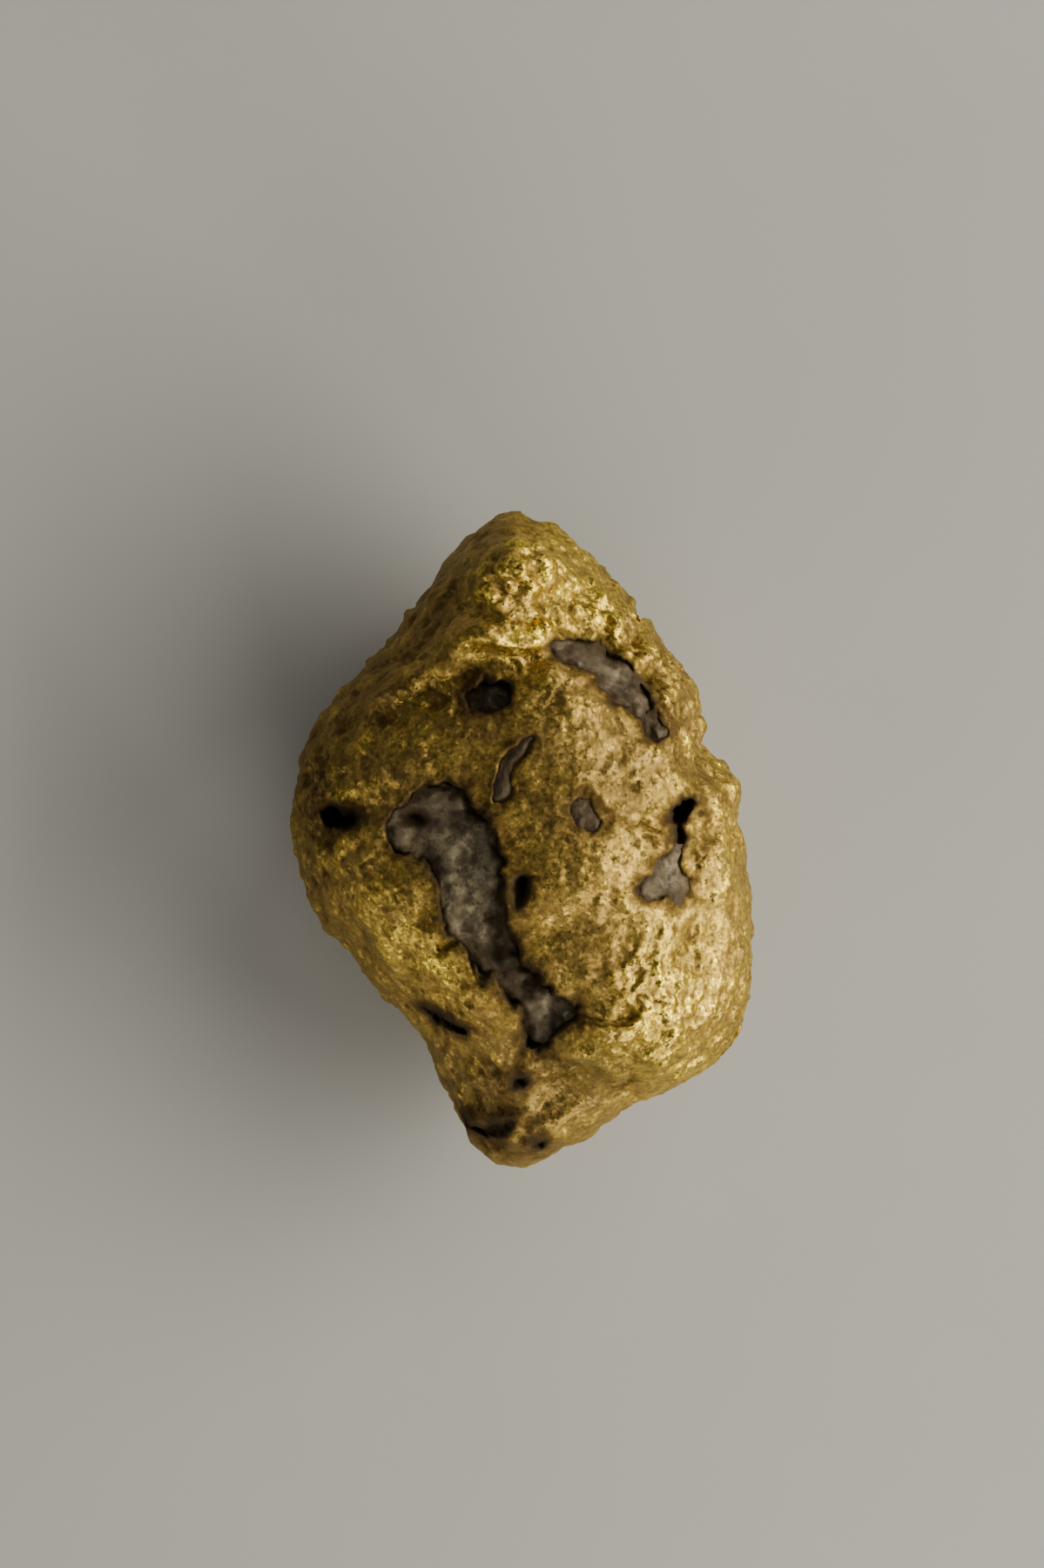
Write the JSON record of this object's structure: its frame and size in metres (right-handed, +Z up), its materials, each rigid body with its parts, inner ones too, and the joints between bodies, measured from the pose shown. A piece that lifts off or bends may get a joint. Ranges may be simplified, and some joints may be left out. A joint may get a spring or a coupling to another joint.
{
  "type": "gold nugget",
  "caption": "Pear-shaped lump of native gold with a ledged top, worn flanks and grey quartz in its hollows, lying on a worn flat.",
  "frame": {"origin": "on the surface that the nugget rests on, under the middle of its bounding box", "axes": "+X towards the nugget's right and +Y towards its pointed top as seen from above, +Z up out of its front"},
  "size_m": [0.0156, 0.0221, 0.0109],
  "materials": {
    "native_gold": "rough native gold, brown in its hollows",
    "grey_quartz": "cloudy grey vein quartz",
    "mauve_quartz": "cloudy mauve-grey vein quartz",
    "pale_quartz": "cloudy pale vein quartz",
    "dark_quartz": "dark vein quartz"
  },
  "bodies": {
    "root": {"gold_body": "native_gold", "quartz_main": "grey_quartz", "quartz_upper_right": "mauve_quartz", "quartz_right": "pale_quartz", "quartz_pit": "dark_quartz", "quartz_seam": "mauve_quartz", "quartz_speck": "mauve_quartz"}
  },
  "joints": []
}
